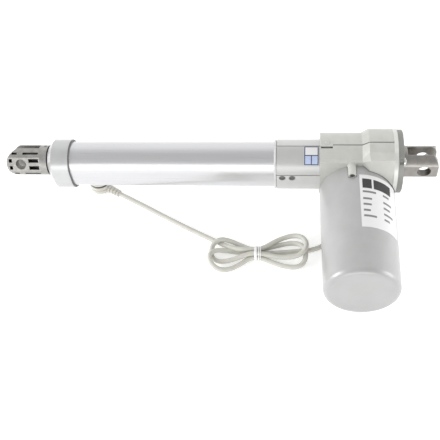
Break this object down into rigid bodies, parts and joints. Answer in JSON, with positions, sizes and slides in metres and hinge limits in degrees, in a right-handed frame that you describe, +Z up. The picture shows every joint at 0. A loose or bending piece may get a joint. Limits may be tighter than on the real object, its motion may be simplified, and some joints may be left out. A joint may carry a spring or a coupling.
{
  "type": "linear actuator",
  "caption": "Electric linear actuator: a worm-geared motor at right angles drives a screw that pushes a rod out of an oval tube, with a clevis at each end and a corded plug.",
  "frame": {"origin": "centre of the rear clevis's cross hole, on the spindle axis", "axes": "+X from the front clevis towards the rear clevis along the spindle; +Z up as it lies on a table; the motor points along -Y"},
  "size_m": [0.4014, 0.1626, 0.0814],
  "materials": {
    "anodised_tube": "satin silver anodised",
    "cap_paint": "semi-gloss silver grey",
    "housing_paint": "semi-gloss light grey on cast alloy",
    "panel_paint": "satin mid grey",
    "cover_paint": "satin silver white",
    "plate_cast": "cast, satin grey",
    "pale_gasket": "matt pale grey",
    "clevis_cast": "dark pewter grey die casting, semi-gloss",
    "clevis_steel": "dull zinc-plated steel",
    "zinc_steel": "zinc plated",
    "screw_chrome": "bright plated",
    "rod_chrome": "polished",
    "steel": "machined",
    "bearing_steel": "ground",
    "bronze": "machined",
    "copper": "enamelled copper",
    "lamination": "stacked laminations",
    "ferrite": "matt",
    "carbon": "matt",
    "bush_plastic": "matt",
    "nut_plastic": "matt",
    "black_plastic": "matt",
    "board_green": "solder resist",
    "seal_rubber": "matt",
    "ivory_rubber": "satin ivory",
    "tie_plastic": "translucent white",
    "plug_metal": "nickel plated",
    "label_white": "satin",
    "label_blue": "satin"
  },
  "bodies": {
    "actuator_body": {"outer_tube": "anodised_tube", "cap_gasket": "pale_gasket", "neck_gasket": "pale_gasket", "front_cap": "cap_paint", "guide_bush": "bush_plastic", "wiper_seal": "seal_rubber", "neck_shell": "housing_paint", "neck_panel": "panel_paint", "neck_screws": "zinc_steel", "gear_housing_front": "housing_paint", "gear_housing_rear": "housing_paint", "housing_screws": "zinc_steel", "bearing_retainer": "pale_gasket", "end_plate": "plate_cast", "end_plate_screws": "screw_chrome", "rear_clevis": "clevis_steel", "motor_cover": "cover_paint", "motor_flange": "steel", "motor_screws": "zinc_steel", "motor_can": "steel", "motor_magnets": "ferrite", "motor_end_bell": "black_plastic", "brushes": "carbon", "motor_bearing_outer": "bearing_steel", "worm_end_bush": "bronze", "front_bearing_outer_race": "bearing_steel", "rear_bearing_outer_race": "bearing_steel", "switch_strip": "board_green", "limit_switches": "black_plastic", "cord_gland": "ivory_rubber", "cord_lead": "ivory_rubber", "cord_run": "ivory_rubber", "cord_hank": "ivory_rubber", "cord_tie": "tie_plastic", "plug_relief": "ivory_rubber", "plug_body": "ivory_rubber", "plug_collar": "plug_metal", "plug_barrel": "plug_metal", "plug_pins": "bronze", "product_label": "label_white", "inspection_label": "label_blue"},
    "rod": {"push_rod": "rod_chrome", "drive_nut": "nut_plastic", "rod_pins": "zinc_steel", "front_clevis": "clevis_cast"},
    "spindle_group": {"spindle": "steel", "worm_wheel": "bronze", "wheel_key": "steel", "spacer_sleeves": "steel", "spindle_locknut": "zinc_steel", "end_stop_screw": "zinc_steel", "front_bearing_inner_race": "bearing_steel", "rear_bearing_inner_race": "bearing_steel", "bearing_balls": "bearing_steel"},
    "rotor": {"motor_shaft": "steel", "worm": "steel", "armature_core": "lamination", "armature_windings": "copper", "commutator": "copper", "motor_bearing_inner": "bearing_steel"}
  },
  "joints": [
    {"name": "motor_spin", "type": "hinge", "parent": "actuator_body", "child": "rotor", "pos_m": [-0.0588, 0, -0.018], "axis": [0, -1, 0], "range_deg": [0, 117000]},
    {"name": "spindle_spin", "type": "hinge", "parent": "actuator_body", "child": "spindle_group", "pos_m": [0, 0, 0], "axis": [1, 0, 0], "range_deg": [0, 9000.1]},
    {"name": "rod_slide", "type": "slide", "parent": "actuator_body", "child": "rod", "axis": [-1, 0, 0], "range_m": [0, 0.2]}
  ],
  "couplings": [
    {"joint": "spindle_spin", "follows": "motor_spin", "ratio": 0.076923},
    {"joint": "rod_slide", "follows": "motor_spin", "m_per_rad": 0.000097941}
  ]
}
